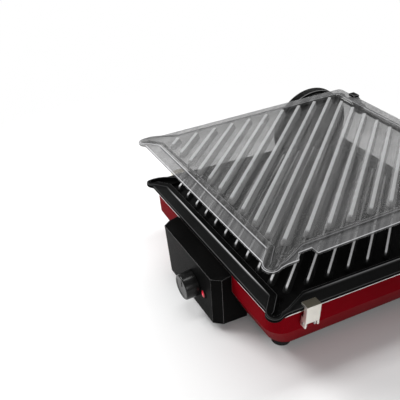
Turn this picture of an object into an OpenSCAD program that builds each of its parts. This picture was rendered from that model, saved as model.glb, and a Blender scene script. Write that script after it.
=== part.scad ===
// Electric indoor grill with a see-through ribbed lid on a height-adjusting hinge.
// Frame: +X to the right, +Y to the back, +Z up, origin on the table under the middle of the grill.

/* [Grill plate] */
// Width of the plate over its rim
plate_w = 300; // [280:1:320]
// Depth of the plate over its rim
plate_d = 315; // [300:1:330]
// Height of the rim's top face above the table
rim_z = 92; // [90:1:110]
// Thickness of the cast plate
plate_t = 4; // [3:0.5:5]
// Depth of the cooking floor below the rim
floor_drop = 5; // [4:0.5:6]
// Height of the bead above the rim
bead_h = 3; // [2:0.5:4]

/* [Ribs] */
// Distance from rib to rib, square to the ribs
rib_pitch = 17.8; // [16:0.1:20]
// Direction of the ribs, counted from +X
rib_angle = 132.5; // [125:0.5:140]
// Height of the rib tops above the rim
rib_rise = 2; // [1:0.5:3]

/* [Housing] */
// Distance from the plate's edge in to the housing's top edge
pan_inset = 4.5; // [4:0.5:6]
// Height of the steep skirt at the top of the housing
skirt_h = 29; // [25:1:32]
// How far the walls lean in from the skirt to the bottom
pan_lean = 25; // [20:1:27]
// Wall thickness of the housing
wall_t = 2.4; // [2:0.1:3]
// Height of the feet
foot_h = 12; // [10:1:14]

/* [Control box] */
// Width of the control box
box_w = 133; // [120:1:140]
// Offset of the control box's middle to the left
box_off = 4.5; // [0:0.5:8]
// Distance of its front face ahead of the plate's edge, at the top
box_out = 17.4; // [15:0.1:20]
// Depth of its top face below the rim
box_top = 14.4; // [13:0.1:16]
// Depth of its lower edge below the rim
box_bottom = 82.7; // [78:0.1:84]
// Diameter of the knob at its foot
knob_d = 33; // [30:1:33]
// Height of the knob
knob_h = 17; // [12:1:18]

/* [Lid] */
// Thickness of the moulded lid
lid_t = 3; // [2.5:0.5:4]
// Height of the lid's back edge above the rim, when raised
lid_rise = 74.7; // [70:0.1:78]
// How far the lid sits ahead of the plate
lid_ahead = 8.4; // [6:0.1:12]
// Forward slope of the raised lid
lid_slope = 2.5; // [1.5:0.1:3]
// Travel of the lid from its raised place down towards the food
float_travel = 45; // [30:1:45]

/* [Hinge] */
// Radius of the round hinge cheeks
cheek_r = 60; // [56:1:62]
// Thickness of a cheek
cheek_t = 13; // [11:1:15]
// Distance of a cheek's inner face from the middle of the grill
cheek_x = 162; // [162:1:166]
// Distance of the cheeks' centre behind the middle of the plate
cheek_y = 116; // [114:1:118]
// Height of the cheeks' centre above the rim
cheek_z = 12.8; // [10:0.1:14]
// Diameter of the rod that the lid turns on
rod_d = 8; // [7:0.5:9]

/* [Hidden] */
$fn = 64;
hull_fn = 32;
eps = 0.05;

half_w = plate_w / 2;
half_d = plate_d / 2;

// Plate and lid outline
rim_r = 6;
lobe_r = 8.5;
lobe_in = [5.5, 4];
side_margin = 14.3;
front_margin = 12.8;
back_margin = 15.8;
bead_w = 4.2;
front_bead_w = 8.2;
rib_foot_w = 9;
rib_top_w = 4.5;
rib_left_gap = 20.5;
rib_right_gap = 30.5;
rib_front_gap = 29;
rib_back_gap = 28;
rib_count = 20;
rib_phase = 0.3;
spout_drop = 1.6;
bead_y = -half_d + front_margin;
dam = [[121.5, bead_y], [138.8, bead_y - 15.2]];
spout_wall = [[134.6, -117.5], [144.6, -137.5], [149.1, -149.5]];
wall_across = 3.3;
pocket_min = [-half_w + side_margin + bead_w, -half_d + front_margin + front_bead_w];
pocket_max = [half_w - side_margin - bead_w, half_d - back_margin - bead_w];

// Housing
trim_inset = 1.2;
trim_h = 2;
trim_lip = 1;
pan_top = -plate_t - trim_h;
skirt_z = pan_top - skirt_h;
pan_z = -(rim_z - foot_h);
skirt_lean = 2;
pan_r = 20;
pan_slope = atan(pan_lean / (skirt_z - pan_z));
cover_t = 2.4;
foot_r = 11;
foot_at = [half_w - pan_inset - skirt_lean - pan_lean - 18, half_d - pan_inset - skirt_lean - pan_lean - 18];

// Heating
tube_d = 7;
tube_z = -22;
bend_r = 18;
tube_x = 112;
tube_y = 118;
terminal_x = 22;
terminal_y = -half_d - 4;
sheet_t = 1;
tray_half = [half_w - 11.5, half_d - 14];
tray_z = -33;

// Plate clips
clip_y = -114;
clip_l = 17;
clip_sheet = 1.5;
clip_top = 3.4;
clip_gap = 0.4;
clip_lap = 4.5;
clip_out = 6;
notch_depth = 9.5;
notch_y = [clip_y - clip_l / 2 - 4, clip_y - clip_l / 2 + 2, clip_y + clip_l / 2 + 0.5];
ear_t = 2;
bracket_x = half_w - 8;
bracket_back = 7;
bracket_h = 10;
pin_x = half_w + 1.4;
pin_z = -20;
pin_d = 2.5;

// Control box
box_left = -box_off - box_w / 2;
box_right = -box_off + box_w / 2;
box_front = -half_d - box_out;
box_lean = 6.4;
box_taper = 3.6;
box_rise = 3;
box_corner = [7.5, 10];
box_wall = 2.4;
box_h = box_bottom - box_top;
face_angle = atan(box_lean / box_h);
dial_z = -51;
knob_x = 10.3;
lamp_x = 33.4;
knob_gap = 0.5;
knob_top_d = knob_d - 2;
shaft_d = 6;
shaft_l = 24;
lens_d = 12;
lens_body_d = 10;
lamp_d = 6;
lamp_l = 11;
thermo_d = 26;
thermo_h = 13;
bush_d = 9;

// Hinge
slot_w = 9;
block_w = 8.4;
block_h = 16;
block_z = 40;
arm_t = 4.4;
arm_gap = 0.4;
rod_y = 161;
rod_z = 54.5;
rod_end = cheek_x - arm_gap;
cap_t = 3;
cap_r = 50;
lug_x = 118;
lug_w = 12;
jaw_t = 3;
web_l = 18;

// Power
gland_x = -70;
gland_z = -55;
gland_d = 16;
cord_bore_d = 8;

front_reach = face_y(dial_z) - (knob_gap + knob_h) * cos(face_angle) - knob_top_d / 2 * sin(face_angle);
rear_reach = cheek_y + cheek_r;
origin_y = -(front_reach + rear_reach) / 2;

function face_y(z) = box_front + box_lean * (-box_top - z) / box_h;
function wall_in(z) = pan_inset + skirt_lean + pan_lean * (skirt_z - z) / (skirt_z - pan_z);

// ---- shared shapes -------------------------------------------------------

module at_rim() {
    translate([0, origin_y, rim_z]) children();
}

// The lid's own frame: the same as the plate's, raised, ahead and sloped about its back edge.
module at_lid() {
    at_rim() translate([0, half_d - lid_ahead, lid_rise]) rotate([lid_slope, 0, 0])
        translate([0, -half_d, 0]) children();
}

module at_side(side) {
    if (side > 0) children();
    else mirror([1, 0, 0]) children();
}

module rounded_rect(w, d, r) {
    square([w - 2 * r, d], center = true);
    square([w, d - 2 * r], center = true);
    for (x = [-1, 1], y = [-1, 1])
        translate([x * (w / 2 - r), y * (d / 2 - r)]) circle(r);
}

module frame_on_face(x, z) {
    translate([x, face_y(z), z]) rotate([90 + face_angle, 0, 0]) children();
}

// ---- ribbed panel shared by the plate and the lid --------------------------

module panel_outline(edge = 0) {
    rounded_rect(plate_w - 2 * edge, plate_d - 2 * edge, rim_r - edge);
    for (side = [-1, 1])
        translate([side * (half_w - lobe_in[0]), -half_d + lobe_in[1]]) circle(lobe_r - edge);
}

module pocket(grow) {
    translate(pocket_min - [grow, grow])
        square(pocket_max - pocket_min + 2 * [grow, grow]);
}

// The front bead turns off to the lobe, and a thin wall runs down to it from the side bead.
module spout_walls(side) {
    at_side(side) {
        polygon([[110, bead_y], dam[0], dam[1], dam[1] + [5, 5.8], [110, bead_y + front_bead_w]]);
        polygon([for (p = spout_wall) p, for (i = [2, 1, 0]) spout_wall[i] + [wall_across, 0]]);
    }
}

// The lowered way from the pocket's corner out to the lobe, between the two walls.
module spout_channel(side) {
    at_side(side)
        polygon([[117.5, -130], [141.5, -151.13], [143.9, -156], [148, -154.5], [149.1, -148.6],
            spout_wall[1] + [0.4, 0], spout_wall[0] + [0.4, 0], [128, -113.5]]);
}

module bead_plan() {
    difference() {
        union() {
            translate([-half_w + side_margin, bead_y])
                square([plate_w - 2 * side_margin, plate_d - front_margin - back_margin]);
            intersection() {
                panel_outline(0.5);
                for (side = [-1, 1]) spout_walls(side);
            }
        }
        pocket(0);
        for (side = [-1, 1]) spout_channel(side);
    }
}

module rib_bars() {
    length = plate_w + plate_d;
    foot = -floor_drop - eps;
    for (i = [0 : rib_count - 1])
        rotate([0, 0, rib_angle])
            translate([-length / 2, -(i - rib_count / 2 + rib_phase) * rib_pitch, 0])
                rotate([90, 0, 90]) linear_extrude(length)
                    polygon([[-rib_foot_w / 2, foot], [rib_foot_w / 2, foot],
                        [rib_top_w / 2, rib_rise], [-rib_top_w / 2, rib_rise]]);
}

module rib_field() {
    low = [-half_w + rib_left_gap, -half_d + rib_front_gap];
    high = [half_w - rib_right_gap, half_d - rib_back_gap];
    intersection() {
        rib_bars();
        translate([low[0], low[1], -floor_drop - eps])
            cube([high[0] - low[0], high[1] - low[1], floor_drop + rib_rise + 2 * eps]);
    }
}

module panel(t) {
    difference() {
        union() {
            translate([0, 0, -t]) linear_extrude(t) panel_outline();
            translate([0, 0, -floor_drop - t]) linear_extrude(floor_drop + 1) pocket(t);
        }
        translate([0, 0, -floor_drop]) linear_extrude(floor_drop + 1) pocket(0);
        translate([0, 0, -spout_drop]) linear_extrude(spout_drop + 1)
            for (side = [-1, 1]) spout_channel(side);
    }
    translate([0, 0, -eps]) linear_extrude(bead_h + eps) bead_plan();
    rib_field();
}

// ---- housing ---------------------------------------------------------------

// One convex body: four corner posts for the skirt and four for the foot of the leaning walls.
module pan_body(inset, top, bottom) {
    hull() {
        for (x = [-1, 1], y = [-1, 1]) {
            translate([x * (half_w - pan_inset - pan_r), y * (half_d - pan_inset - pan_r), top - 1])
                cylinder(r = pan_r - inset, h = 1, $fn = hull_fn);
            translate([x * (half_w - pan_inset - skirt_lean - pan_r),
                y * (half_d - pan_inset - skirt_lean - pan_r), skirt_z])
                cylinder(r = pan_r - inset, h = 1, $fn = hull_fn);
            translate([x * (half_w - wall_in(bottom) - pan_r),
                y * (half_d - wall_in(bottom) - pan_r), bottom])
                cylinder(r = pan_r - inset, h = 1, $fn = hull_fn);
        }
    }
}

module pan_solid() {
    pan_body(0, pan_top, pan_z);
}

module lower_housing() {
    color("firebrick") at_rim() difference() {
        pan_solid();
        pan_body(wall_t, pan_top + 1, pan_z - 2);
        for (x = [-terminal_x, terminal_x])
            translate([x, -half_d - 10, tube_z]) rotate([-90, 0, 0]) cylinder(d = tube_d + 2, h = 40);
        translate([knob_x, -half_d - 10, dial_z]) rotate([-90, 0, 0]) cylinder(d = 14, h = 60);
        gland_frame() translate([0, 0, -20]) cylinder(d = gland_d + 0.4, h = 40);
        cheek_screw_axes() translate([0, 0, -40]) cylinder(d = 4.2, h = 50);
    }
}

module rim_trim() {
    outer_w = plate_w - 2 * trim_inset;
    outer_d = plate_d - 2 * trim_inset;
    color("gainsboro") at_rim() translate([0, 0, pan_top]) difference() {
        linear_extrude(trim_h) difference() {
            rounded_rect(outer_w, outer_d, rim_r);
            rounded_rect(outer_w - 16, outer_d - 16, rim_r);
        }
        translate([0, 0, -eps]) linear_extrude(trim_h - trim_lip + eps)
            rounded_rect(plate_w - 2 * pan_inset - 1, plate_d - 2 * pan_inset - 1, pan_r);
    }
}

module bottom_cover() {
    inner = wall_in(pan_z) + wall_t + 0.6;
    color("dimgray") at_rim() translate([0, 0, pan_z]) difference() {
        linear_extrude(cover_t) rounded_rect(plate_w - 2 * inner, plate_d - 2 * inner, pan_r - wall_t);
        for (x = [-4 : 4])
            translate([x * 14 - 2, -30, -eps]) cube([4, 60, cover_t + 2 * eps]);
        for (x = [-1, 1], y = [-1, 1])
            translate([x * foot_at[0], y * foot_at[1], -eps]) cylinder(d = 4.2, h = cover_t + 2 * eps);
    }
}

module foot(x, y) {
    color("black") translate([0, origin_y, 0]) translate([x * foot_at[0], y * foot_at[1], 0])
        difference() {
            union() {
                cylinder(r = foot_r, h = foot_h - 3);
                translate([0, 0, foot_h - 3]) cylinder(r1 = foot_r, r2 = foot_r - 2, h = 3);
            }
            translate([0, 0, -eps]) cylinder(d = 8, h = 6);
            cylinder(d = 4.2, h = foot_h + eps);
        }
}

module cover_screws() {
    color("silver") translate([0, origin_y, 0])
        for (x = [-1, 1], y = [-1, 1])
            translate([x * foot_at[0], y * foot_at[1], 3]) {
                cylinder(d = 7.4, h = 2.9);
                cylinder(d = 4, h = foot_h + cover_t + 3);
            }
}

// ---- heating ---------------------------------------------------------------

module heat_reflector() {
    outer_w = plate_w - 2 * pan_inset - 1.6;
    outer_d = plate_d - 2 * pan_inset - 1.6;
    color("lightgray") at_rim() difference() {
        union() {
            translate([0, 0, pan_top]) linear_extrude(sheet_t) rounded_rect(outer_w, outer_d, pan_r);
            translate([0, 0, tray_z]) linear_extrude(pan_top - tray_z)
                rounded_rect(2 * tray_half[0], 2 * tray_half[1], 5);
        }
        translate([0, 0, tray_z + sheet_t]) linear_extrude(pan_top - tray_z + 1)
            rounded_rect(2 * (tray_half[0] - sheet_t), 2 * (tray_half[1] - sheet_t), 4);
        for (x = [-terminal_x, terminal_x])
            translate([x, -half_d, tube_z]) rotate([-90, 0, 0]) cylinder(d = tube_d + 1, h = 30);
    }
}

// The tube's route: out of the box, round the left half, across, round the right half and back.
tube_route = [[-terminal_x, terminal_y], [-terminal_x, -78], [-tube_x + 32, -78], [-tube_x + 32, -tube_y],
    [-tube_x - 6, -tube_y], [-tube_x - 6, tube_y], [-tube_x / 2, tube_y], [-tube_x / 2, 0],
    [tube_x / 2, 0], [tube_x / 2, tube_y], [tube_x + 6, tube_y], [tube_x + 6, -tube_y],
    [tube_x - 32, -tube_y], [tube_x - 32, -78], [terminal_x, -78], [terminal_x, terminal_y]];

function heading(a, b) = atan2(b[1] - a[1], b[0] - a[0]);
function turn_sign(a, b, c) =
    (b[0] - a[0]) * (c[1] - b[1]) - (b[1] - a[1]) * (c[0] - b[0]) > 0 ? 1 : -1;

module heating_element() {
    last = len(tube_route) - 1;
    color("dimgray") at_rim() translate([0, 0, tube_z]) {
        for (i = [0 : last - 1]) {
            a = tube_route[i];
            b = tube_route[i + 1];
            start = i == 0 ? 0 : bend_r;
            end = i == last - 1 ? 0 : bend_r;
            translate([a[0], a[1], 0]) rotate([0, 0, heading(a, b)]) translate([start, 0, 0])
                rotate([0, 90, 0]) cylinder(d = tube_d, h = norm(b - a) - start - end);
        }
        for (i = [1 : last - 1]) {
            a = tube_route[i - 1];
            b = tube_route[i];
            c = tube_route[i + 1];
            side = turn_sign(a, b, c);
            translate([b[0], b[1], 0]) rotate([0, 0, heading(a, b)]) translate([-bend_r, side * bend_r, 0])
                rotate([0, 0, side > 0 ? -90 : 0]) rotate_extrude(angle = 90)
                    translate([bend_r, 0]) circle(d = tube_d);
        }
    }
}

module element_clips() {
    floor_z = tray_z + sheet_t;
    color("silver") at_rim()
        for (x = [-tube_x - 6, tube_x + 6], y = [-60, 60])
            translate([x, y, 0]) difference() {
                translate([-7, -5, floor_z]) cube([14, 10, tube_z - floor_z + 1]);
                translate([0, -6, tube_z]) rotate([-90, 0, 0]) cylinder(d = tube_d, h = 12);
            }
}

module grill_plate() {
    color([0.12, 0.12, 0.13]) at_rim() panel(plate_t);
}

// ---- plate clips -----------------------------------------------------------

module clip_bracket(side) {
    inner_l = clip_l - 2 * clip_sheet - 2 * clip_gap;
    reach = half_w + clip_out - clip_sheet - 2 * clip_gap - bracket_x;
    color("silver") at_rim() at_side(side) difference() {
        translate([bracket_x, clip_y - inner_l / 2, pin_z - bracket_h / 2]) {
            for (y = [0, inner_l - ear_t])
                translate([0, y, 0]) cube([reach, ear_t, bracket_h]);
            cube([bracket_back, inner_l, bracket_h]);
        }
        pan_solid();
        translate([pin_x, clip_y - clip_l, pin_z]) rotate([-90, 0, 0]) cylinder(d = pin_d, h = 2 * clip_l);
    }
}

module clip_pin(side) {
    color("silver") at_rim() at_side(side)
        translate([pin_x, clip_y - clip_l / 2 - 0.8, pin_z]) rotate([-90, 0, 0])
            cylinder(d = pin_d, h = clip_l + 1.6);
}

module plate_clip(side) {
    ear_z = pin_z - 4;
    skin_z = pin_z + 2;
    color("silver") at_rim() at_side(side) difference() {
        union() {
            translate([half_w - clip_lap, clip_y - clip_l / 2, clip_gap])
                cube([clip_lap + clip_out, clip_l, clip_top - clip_gap]);
            translate([half_w + clip_out - clip_sheet, clip_y - clip_l / 2, skin_z])
                cube([clip_sheet, clip_l, clip_top - skin_z]);
            for (y = [-clip_l / 2, clip_l / 2 - clip_sheet])
                translate([0, clip_y + y, 0]) {
                    translate([half_w + 2 * clip_gap, 0, ear_z + 1])
                        cube([clip_out - 2 * clip_gap, clip_sheet, clip_top - ear_z - 1]);
                    translate([half_w - 2, 0, ear_z]) cube([clip_out + 2, clip_sheet, 12]);
                }
        }
        translate([pin_x, clip_y - clip_l, pin_z]) rotate([-90, 0, 0])
            cylinder(d = pin_d + 0.1, h = 2 * clip_l);
    }
}

// ---- control box -----------------------------------------------------------

module box_plan(inset, taper, lean) {
    left = box_left + inset + taper;
    right = box_right - inset - taper;
    front = box_front + inset + lean;
    polygon([[left, -half_d + 30], [left, front + box_corner[1]], [left + box_corner[0], front],
        [right - box_corner[0], front], [right, front + box_corner[1]], [right, -half_d + 30]]);
}

module box_block(inset, top, bottom) {
    hull() {
        translate([0, 0, -top - 0.1]) linear_extrude(0.1) box_plan(inset, 0, 0);
        translate([0, 0, -top + box_rise - 0.1]) linear_extrude(0.1) intersection() {
            box_plan(inset, 0, 0);
            translate([-half_w, -half_d + pan_inset]) square([plate_w, 40]);
        }
        translate([0, 0, -bottom]) linear_extrude(0.1) box_plan(inset, box_taper, box_lean);
    }
}

module control_box() {
    color([0.1, 0.1, 0.1]) at_rim() difference() {
        box_block(0, box_top, box_bottom);
        box_block(box_wall, box_top + box_wall, box_bottom + 1);
        pan_solid();
        frame_on_face(knob_x, dial_z) translate([0, 0, -6]) cylinder(d = bush_d + 0.1, h = 8);
        frame_on_face(lamp_x, dial_z) translate([0, 0, -6]) cylinder(d = lens_body_d + 0.2, h = 8);
    }
}

module control_box_base() {
    color([0.15, 0.15, 0.15]) at_rim() difference() {
        intersection() {
            box_block(box_wall + 0.3, box_top + box_wall, box_bottom + 1);
            translate([-plate_w, -plate_d, -box_bottom]) cube([2 * plate_w, plate_d, cover_t]);
        }
        pan_solid();
        for (x = [box_left + 30, box_right - 30])
            translate([x, face_y(-box_bottom) + 16, -box_bottom - eps])
                cylinder(d = 3.4, h = cover_t + 2 * eps);
    }
}

module box_screws() {
    color("silver") at_rim()
        for (x = [box_left + 30, box_right - 30])
            translate([x, face_y(-box_bottom) + 16, -box_bottom - 1.6]) {
                cylinder(d = 6, h = 1.6);
                cylinder(d = 3.2, h = 9);
            }
}

module thermostat() {
    color("tan") at_rim() frame_on_face(knob_x, dial_z) difference() {
        union() {
            translate([0, 0, -box_wall - 1 - thermo_h]) cylinder(d = thermo_d, h = thermo_h);
            translate([0, 0, -box_wall - 1 - eps]) cylinder(d = bush_d, h = box_wall + 1 + eps);
            translate([-thermo_d / 2 + 2, -4, -box_wall - 1 - thermo_h - 5]) cube([4, 8, 6]);
            translate([thermo_d / 2 - 6, -4, -box_wall - 1 - thermo_h - 5]) cube([4, 8, 6]);
        }
        translate([0, 0, -10.2]) cylinder(d = shaft_d + 0.1, h = 12);
    }
}

module thermostat_shaft() {
    color("silver") at_rim() frame_on_face(knob_x, dial_z)
        translate([0, 0, -10]) cylinder(d = shaft_d, h = shaft_l - 2);
}

module knob() {
    color([0.13, 0.13, 0.13]) at_rim() frame_on_face(knob_x, dial_z) difference() {
        translate([0, 0, knob_gap]) cylinder(d1 = knob_d, d2 = knob_top_d, h = knob_h);
        translate([0, 0, knob_gap - eps]) cylinder(d = shaft_d, h = shaft_l - 12 - knob_gap + eps);
    }
}

module indicator_lens() {
    color("red") at_rim() frame_on_face(lamp_x, dial_z) {
        translate([0, 0, -box_wall - 2]) cylinder(d = lens_body_d, h = box_wall + 2.5);
        translate([0, 0, 0.02]) cylinder(d = lens_d, h = 0.78);
        translate([0, 0, 0.8]) cylinder(d1 = lens_d, d2 = lens_d - 4, h = 1);
    }
}

module indicator_lamp() {
    color("orange") at_rim() frame_on_face(lamp_x, dial_z)
        translate([0, 0, -box_wall - 2 - lamp_l]) cylinder(d = lamp_d, h = lamp_l);
}

// ---- power -----------------------------------------------------------------

module gland_frame() {
    translate([gland_x, half_d - wall_in(gland_z), gland_z]) rotate([-90 - pan_slope, 0, 0]) children();
}

module cord_inlet() {
    color("black") at_rim() gland_frame() difference() {
        union() {
            translate([0, 0, -8]) cylinder(d = gland_d, h = 9);
            cylinder(d = gland_d + 8, h = 3);
            translate([0, 0, 3]) cylinder(d1 = gland_d + 2, d2 = gland_d - 2, h = 9);
        }
        translate([0, 0, -9]) cylinder(d = cord_bore_d, h = 22);
    }
}

module terminal_block() {
    floor_z = pan_z + cover_t;
    color("ivory") at_rim() difference() {
        translate([gland_x - 14, 78, floor_z]) cube([40, 16, 13]);
        for (i = [0 : 2])
            translate([gland_x - 6 + i * 12, 86, floor_z + 5]) cylinder(d = 5, h = 10);
    }
}

module thermal_fuse() {
    color("white") at_rim() translate([0, -30, tray_z - 5]) {
        rotate([0, 90, 0]) translate([0, 0, -9]) cylinder(d = 6, h = 18);
        translate([-4, -3, 0]) cube([8, 6, 5]);
    }
}

// ---- hinge -----------------------------------------------------------------

module cheek_screw_axes() {
    for (side = [-1, 1])
        at_side(side)
            for (y = [-16, 16])
                translate([cheek_x + cheek_t, cheek_y + y, cheek_z - 41]) rotate([0, -90, 0])
                    mirror([0, 0, 1]) children();
}

module hinge_bracket(side) {
    color([0.12, 0.12, 0.12]) at_rim() difference() {
        at_side(side) translate([half_w - 30, cheek_y - 24, cheek_z - 50])
            cube([cheek_x - half_w + 30, 48, 22]);
        pan_solid();
        cheek_screw_axes() translate([0, 0, -40]) cylinder(d = 4.2, h = 50);
    }
}

module hinge_cheek(side) {
    slot_low = block_z - float_travel - block_h / 2 - 0.5;
    slot_high = block_z + block_h / 2 + 0.5;
    color([0.08, 0.08, 0.08]) at_rim() difference() {
        at_side(side) difference() {
            translate([cheek_x, cheek_y, cheek_z]) rotate([0, 90, 0])
                cylinder(r = cheek_r, h = cheek_t, $fn = 96);
            translate([cheek_x - 1, cheek_y, cheek_z]) rotate([0, 90, 0]) difference() {
                cylinder(r = cheek_r - 5, h = 2, $fn = 96);
                cylinder(r = cheek_r - 9, h = 2, $fn = 96);
            }
            translate([cheek_x - 1, cheek_y - slot_w / 2, slot_low])
                cube([cheek_t + 2, slot_w, slot_high - slot_low]);
        }
        cheek_screw_axes() {
            translate([0, 0, -40]) cylinder(d = 4.2, h = 50);
            translate([0, 0, -3.2]) cylinder(d = 8, h = 4);
        }
    }
}

module cheek_cap(side) {
    color([0.16, 0.16, 0.16]) at_rim() at_side(side)
        translate([cheek_x + cheek_t, cheek_y, cheek_z]) rotate([0, 90, 0]) {
            cylinder(r = cap_r, h = cap_t - 1, $fn = 96);
            translate([0, 0, cap_t - 1]) cylinder(r1 = cap_r, r2 = cap_r - 1.5, h = 1, $fn = 96);
        }
}

module cheek_screws() {
    color("silver") at_rim() cheek_screw_axes() {
        translate([0, 0, -3.2]) cylinder(d = 7.4, h = 3);
        translate([0, 0, -34]) cylinder(d = 4, h = 31);
    }
}

module carriage(side) {
    start = [cheek_y, block_z];
    end = [rod_y, rod_z];
    run = end - start;
    color([0.2, 0.2, 0.2]) at_rim() at_side(side) difference() {
        union() {
            translate([rod_end - arm_t, start[0], start[1]]) rotate([atan2(run[1], run[0]), 0, 0])
                translate([0, 0, -6]) cube([arm_t, norm(run), 12]);
            for (p = [start, end])
                translate([rod_end - arm_t, p[0], p[1]]) rotate([0, 90, 0]) cylinder(d = 15, h = arm_t);
            translate([rod_end - eps, start[0] - block_w / 2, start[1] - block_h / 2])
                cube([cheek_t - 1, block_w, block_h]);
        }
        translate([0, end[0], end[1]]) rotate([0, 90, 0]) cylinder(d = rod_d, h = 2 * cheek_x);
        translate([rod_end + 2, start[0] - block_w / 2 + 1.4, start[1] - block_h / 2 - eps])
            cube([cheek_t - 5, block_w - 2.8, block_h + 2 * eps]);
    }
}

module brake_spring(side) {
    color("silver") at_rim() at_side(side)
        translate([rod_end + 3, cheek_y - block_w / 2 + 1.5, block_z - block_h / 2 + 1]) {
            cube([cheek_t - 7, 0.6, block_h - 2]);
            translate([0, block_w - 3.6, 0]) cube([cheek_t - 7, 0.6, block_h - 2]);
            cube([cheek_t - 7, block_w - 3, 0.6]);
        }
}

module hinge_rod() {
    color("silver") at_rim() translate([-rod_end, rod_y, rod_z]) rotate([0, 90, 0])
        cylinder(d = rod_d, h = 2 * rod_end);
}

// ---- lid -------------------------------------------------------------------

module lid_arm(side) {
    back_y = half_d - lid_ahead;
    color([0.12, 0.12, 0.12]) difference() {
        union() {
            at_lid() at_side(side) translate([lug_x - lug_w / 2, half_d - 6, -lid_t - jaw_t])
                cube([lug_w, 6 + jaw_t, lid_t + 2 * jaw_t]);
            at_rim() at_side(side) translate([lug_x - lug_w / 2, rod_y, rod_z]) {
                rotate([0, 90, 0]) cylinder(d = 15, h = lug_w);
                rotate([atan2(lid_rise - rod_z - 4, back_y - rod_y + 2), 0, 0])
                    translate([1.5, 0, -4.5]) cube([lug_w - 3, web_l, 9]);
            }
        }
        at_lid() translate([-half_w, half_d - 14, -lid_t]) cube([plate_w, 14, lid_t]);
        at_rim() translate([-half_w, rod_y, rod_z]) rotate([0, 90, 0])
            cylinder(d = rod_d + 0.1, h = plate_w);
    }
}

// The lid's flange is cut away over the right plate clip, slanting in from the front.
module clip_notch() {
    polygon([[half_w + 1, notch_y[0]], [half_w, notch_y[0]], [half_w - notch_depth, notch_y[1]],
        [half_w - notch_depth, notch_y[2]], [half_w + 1, notch_y[2]]]);
}

module lid_panel() {
    color([0.55, 0.56, 0.58, 0.45]) at_lid() difference() {
        panel(lid_t);
        translate([0, 0, -lid_t - 1]) linear_extrude(lid_t + 2) clip_notch();
    }
}

// ---- drawing ---------------------------------------------------------------

lower_housing();
rim_trim();
bottom_cover();
foot(-1, -1);  // foot_front_left
foot(1, -1);  // foot_front_right
foot(-1, 1);  // foot_rear_left
foot(1, 1);  // foot_rear_right
heat_reflector();
heating_element();
element_clips();
grill_plate();
clip_bracket(-1);  // clip_bracket_left
clip_bracket(1);  // clip_bracket_right
clip_pin(-1);  // clip_pin_left
clip_pin(1);  // clip_pin_right
plate_clip(-1);  // plate_clip_left
plate_clip(1);  // plate_clip_right
control_box();
control_box_base();
thermostat();
thermostat_shaft();
knob();
indicator_lens();
indicator_lamp();
terminal_block();
thermal_fuse();
cord_inlet();
hinge_bracket(-1);  // hinge_bracket_left
hinge_bracket(1);  // hinge_bracket_right
hinge_cheek(-1);  // hinge_cheek_left
hinge_cheek(1);  // hinge_cheek_right
cheek_cap(-1);  // cheek_cap_left
cheek_cap(1);  // cheek_cap_right
carriage(-1);  // carriage_left
carriage(1);  // carriage_right
brake_spring(-1);  // brake_spring_left
brake_spring(1);  // brake_spring_right
hinge_rod();
lid_arm(-1);  // lid_arm_left
lid_arm(1);  // lid_arm_right
lid_panel();
cheek_screws();
cover_screws();
box_screws();
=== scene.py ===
"""Electric indoor grill with a see-through ribbed lid, dressed for a studio view.

Lengths in the making functions are millimetres in the plate's own frame: origin in the middle of the
plate's rim, +X to the right, +Y to the back, +Z up. at_rim(), at_lid() and at_dial() carry them to the
grill's frame, which is in metres.
"""

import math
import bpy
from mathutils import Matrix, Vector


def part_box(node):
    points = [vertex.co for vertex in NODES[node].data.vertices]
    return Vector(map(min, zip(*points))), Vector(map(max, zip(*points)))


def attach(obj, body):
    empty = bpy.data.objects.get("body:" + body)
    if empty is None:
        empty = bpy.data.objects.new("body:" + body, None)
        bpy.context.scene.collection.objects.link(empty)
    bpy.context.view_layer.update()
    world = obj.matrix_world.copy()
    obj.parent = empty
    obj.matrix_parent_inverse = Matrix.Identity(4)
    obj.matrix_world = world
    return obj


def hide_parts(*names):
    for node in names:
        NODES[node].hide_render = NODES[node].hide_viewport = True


bl_info = {
    "name": "Indoor Grill",
    "version": (1, 0, 0),
    "blender": (4, 5, 0),
    "location": "View3D > Sidebar > Grill",
    "description": "Dresses an electric indoor grill with a ribbed plate and a floating see-through lid",
    "category": "Object",
}

from functools import cache

import bpy
import numpy as np
from mathutils import Vector

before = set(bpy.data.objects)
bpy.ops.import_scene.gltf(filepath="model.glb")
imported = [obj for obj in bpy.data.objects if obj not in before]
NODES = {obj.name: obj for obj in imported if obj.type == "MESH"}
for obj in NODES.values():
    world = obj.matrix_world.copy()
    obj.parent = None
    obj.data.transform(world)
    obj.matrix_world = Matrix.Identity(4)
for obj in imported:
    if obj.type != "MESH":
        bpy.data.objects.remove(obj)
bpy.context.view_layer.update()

MM = 1000.0  # millimetres in a metre
HALF_D = 157.5  # half the plate's depth
RIM_Z = 92.0  # height of the plate's rim above the table
PLATE_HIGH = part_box("grill_plate")[1]
ORIGIN_Y = PLATE_HIGH.y * MM - HALF_D
FACE_ANGLE = math.atan2(6.4, 68.3)  # the box's front leans back 6.4 over its height of 68.3
FACE_Y = -0.17147  # the box's front at the dial's height, in metres from the plate's middle

WELD_REACH = 0.00002  # metres
SOFTENED_ANGLE = math.radians(30)  # edges sharper than this are softened


# ---- placing and meshing ------------------------------------------------------------------------


def at_rim(points):
    """Plate-frame millimetres to metres in the grill's frame."""
    return (points + [0, ORIGIN_Y, RIM_Z]) / MM


def tipped(points, angle):
    """Points turned about the X axis: y' = y cos a - z sin a, z' = y sin a + z cos a."""
    x, y, z = np.moveaxis(points, -1, 0)
    c, s = math.cos(angle), math.sin(angle)
    return np.stack([x, y * c - z * s, y * s + z * c], -1)


def at_lid(points):
    """The lid's frame: the plate's, tipped about its back edge, lifted and moved ahead, in metres."""
    lid = bpy.context.scene.grill_lid
    moved = tipped(points - [0, HALF_D, 0], lid.slope)
    return at_rim(moved + [0, HALF_D - lid.ahead * MM, lid.rise * MM])


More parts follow.
